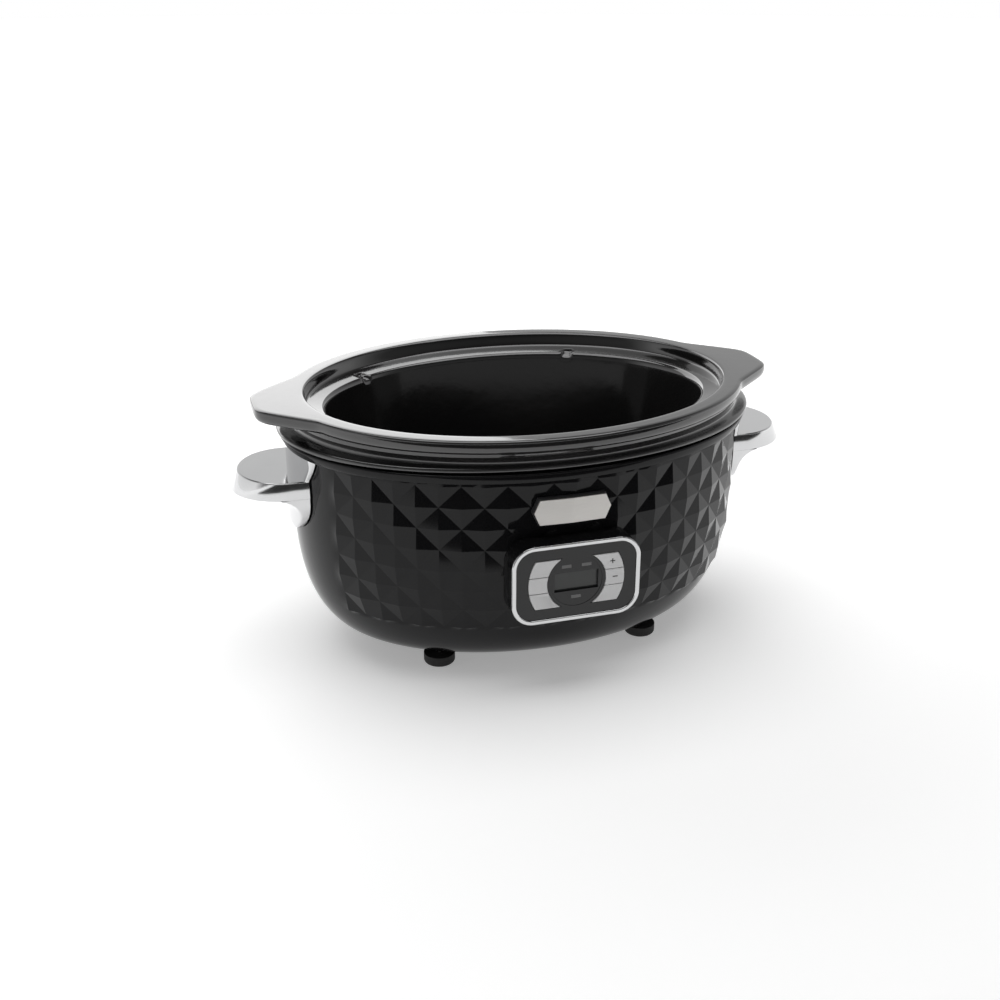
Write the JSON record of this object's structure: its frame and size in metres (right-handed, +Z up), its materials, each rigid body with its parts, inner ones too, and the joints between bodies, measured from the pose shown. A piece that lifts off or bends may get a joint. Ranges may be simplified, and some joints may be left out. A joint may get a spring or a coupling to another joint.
{
  "type": "slow cooker",
  "caption": "Oval electric slow cooker with a faceted black shell, a lift-out stoneware crock, chrome end handles and a framed push-button control panel.",
  "frame": {"origin": "on the plane the feet stand on, at the centre of the crock's oval", "axes": "+Z up, -Y the front with the control panel, X along the oval from handle to handle (+X to the right as seen from the front)"},
  "size_m": [0.43, 0.279, 0.1904],
  "materials": {
    "black_shell": "glossy black, moulded in facets",
    "black_base": "matte black moulding",
    "black_stoneware": "glossy black glaze over stoneware",
    "chrome_trim": "polished chrome",
    "satin_metal": "satin brushed",
    "foot_rubber": "matte rubber",
    "steel_sheet": "bare sheet steel",
    "well_aluminium": "drawn aluminium",
    "screw_steel": "zinc plated",
    "panel_gloss": "glossy black fascia",
    "display_lens": "dark display glass",
    "button_silver": "silver-grey keys",
    "lamp_clear": "translucent light bars",
    "silicone": "grey silicone",
    "gasket_black": "black gasket",
    "board_green": "green circuit board",
    "part_black": "black component body",
    "part_blue": "blue component body",
    "copper_winding": "varnished winding",
    "wire_red": "heat-proof lead sleeve",
    "wire_grey": "grey lead sleeve",
    "heater_mica": "heater band sheath"
  },
  "bodies": {
    "base": {"badge": "satin_metal", "badge_backing": "black_base", "badge_clips": "steel_sheet", "base_plate": "black_base", "base_screws": "screw_steel", "capacitor": "part_black", "centre_stud": "screw_steel", "clamp_bolt": "screw_steel", "controller_chip": "part_black", "cord_gland": "gasket_black", "display_bezel": "panel_gloss", "display_board": "board_green", "display_board_screws": "screw_steel", "foot_front_left": "foot_rubber", "foot_front_right": "foot_rubber", "foot_rear_left": "foot_rubber", "foot_rear_right": "foot_rubber", "foot_screws": "screw_steel", "gland_nut": "part_black", "handle_gasket_left": "gasket_black", "handle_gasket_right": "gasket_black", "handle_left": "chrome_trim", "handle_right": "chrome_trim", "handle_screws": "screw_steel", "heater_band": "heater_mica", "heater_clamp": "steel_sheet", "heater_leads": "wire_red", "heating_well": "well_aluminium", "housing_shell": "black_shell", "indicator_lights": "lamp_clear", "keypad_mat": "silicone", "lcd_module": "display_lens", "mains_leads": "wire_grey", "panel_face": "panel_gloss", "panel_frame": "chrome_trim", "panel_pod": "panel_gloss", "power_board": "board_green", "power_board_screws": "screw_steel", "relay": "part_blue", "ribbon_cable": "wire_grey", "sensor_clip": "steel_sheet", "stud_nut": "screw_steel", "stud_washer": "screw_steel", "temperature_sensor": "steel_sheet", "terminal_block": "part_blue", "thermal_fuse": "steel_sheet", "top_ring": "black_shell", "transformer": "copper_winding"},
    "crock": {"crock": "black_stoneware"},
    "power_button": {"button_power": "button_silver"},
    "mode_button": {"button_mode": "button_silver"},
    "delay_button": {"button_delay": "button_silver"},
    "plus_button": {"button_plus": "button_silver"},
    "minus_button": {"button_minus": "button_silver"},
    "enter_button": {"button_enter": "button_silver"}
  },
  "joints": [
    {"name": "crock_lift", "type": "slide", "parent": "base", "child": "crock", "axis": [0, 0, 1], "range_m": [0, 0.16]},
    {"name": "power_press", "type": "slide", "parent": "base", "child": "power_button", "axis": [0, 1, 0], "range_m": [0, 0.0008], "stiffness_N_per_m": 400},
    {"name": "mode_press", "type": "slide", "parent": "base", "child": "mode_button", "axis": [0, 1, 0], "range_m": [0, 0.0008], "stiffness_N_per_m": 400},
    {"name": "delay_press", "type": "slide", "parent": "base", "child": "delay_button", "axis": [0, 1, 0], "range_m": [0, 0.0008], "stiffness_N_per_m": 400},
    {"name": "plus_press", "type": "slide", "parent": "base", "child": "plus_button", "axis": [0, 1, 0], "range_m": [0, 0.0008], "stiffness_N_per_m": 400},
    {"name": "minus_press", "type": "slide", "parent": "base", "child": "minus_button", "axis": [0, 1, 0], "range_m": [0, 0.0008], "stiffness_N_per_m": 400},
    {"name": "enter_press", "type": "slide", "parent": "base", "child": "enter_button", "axis": [0, 1, 0], "range_m": [0, 0.0008], "stiffness_N_per_m": 400}
  ]
}
